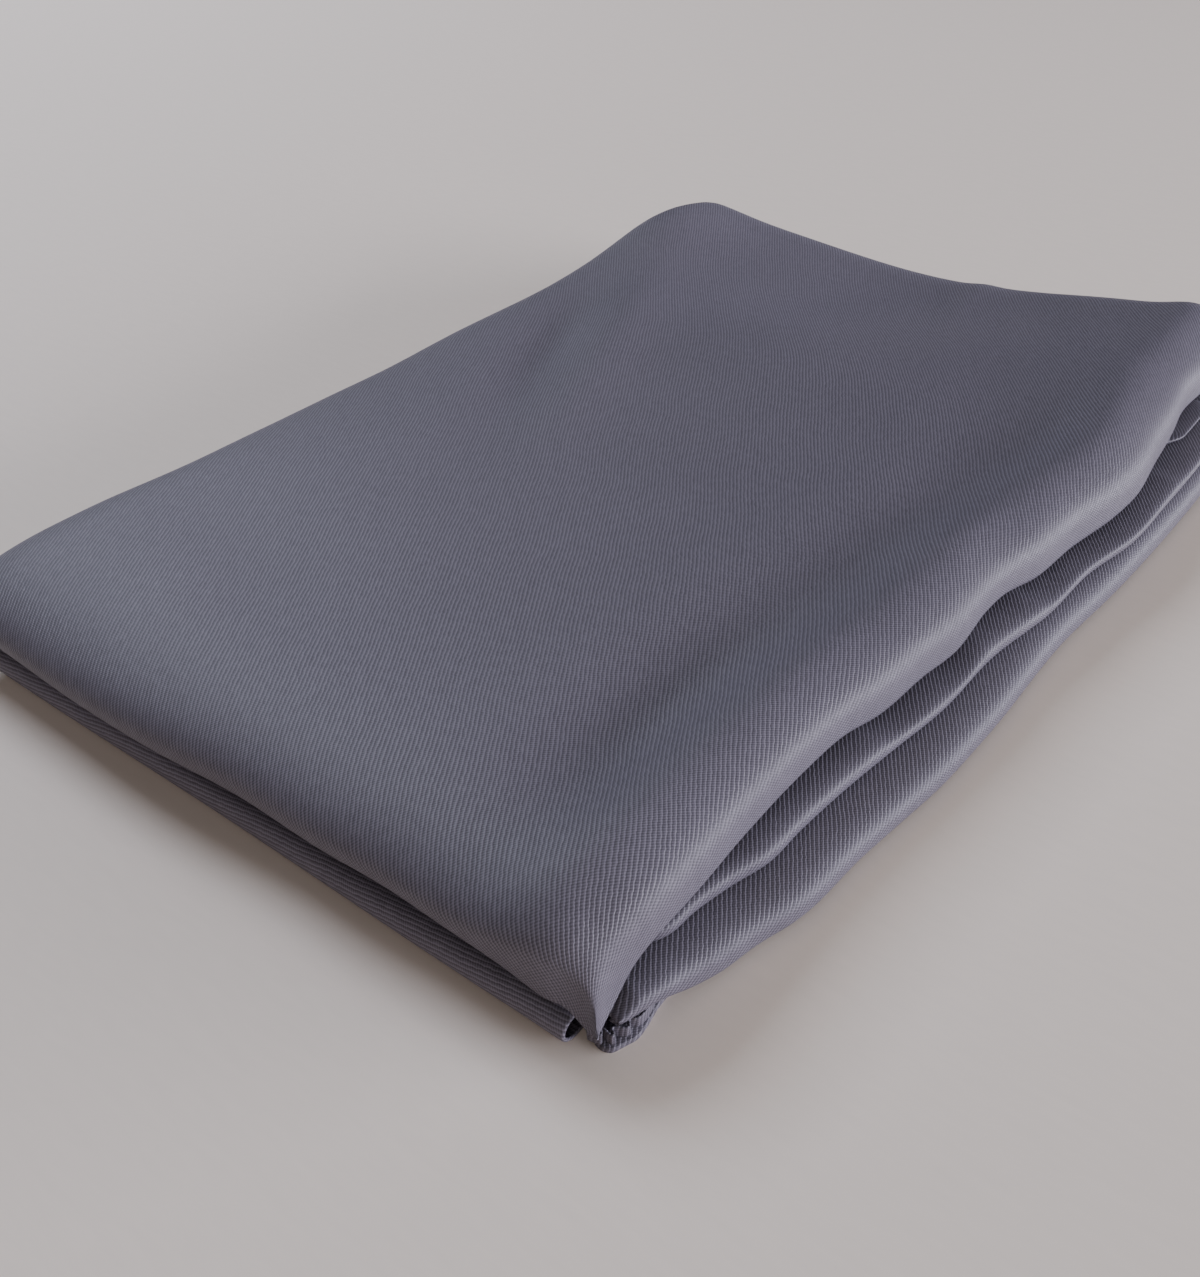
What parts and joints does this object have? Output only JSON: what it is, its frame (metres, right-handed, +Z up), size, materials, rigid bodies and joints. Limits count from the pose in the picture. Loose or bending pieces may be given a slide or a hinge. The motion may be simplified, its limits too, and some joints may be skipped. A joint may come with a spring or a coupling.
{
  "type": "chiffon hijab",
  "caption": "Ribbed chiffon hijab, a plain rectangle of cloth with a narrow rolled hem, folded into a neat flat pack that lies on a surface.",
  "frame": {"origin": "centre of the bounding box, at the underside that lies on the surface", "axes": "+X along the long side of the pack, away from the thin lower fold; +Y across it, away from the side with the stepped folds; +Z up"},
  "size_m": [0.299, 0.2074, 0.031],
  "materials": {
    "top_panel": "soft ribbed weave with a low sheen",
    "end_fold": "soft ribbed weave with a low sheen",
    "middle_fold": "soft ribbed weave with a low sheen",
    "under_panel": "soft ribbed weave with a low sheen",
    "inner_layers": "soft ribbed weave with a low sheen",
    "lower_fold": "soft ribbed weave with a low sheen",
    "lower_layers": "soft ribbed weave with a low sheen",
    "base_panel": "soft ribbed weave with a low sheen",
    "corner_pleats": "soft ribbed weave with a low sheen"
  },
  "bodies": {
    "root": {"top_panel": "top_panel", "end_fold": "end_fold", "middle_fold": "middle_fold", "under_panel": "under_panel", "inner_layers": "inner_layers", "lower_fold": "lower_fold", "lower_layers": "lower_layers", "base_panel": "base_panel", "corner_pleats": "corner_pleats"}
  },
  "joints": []
}
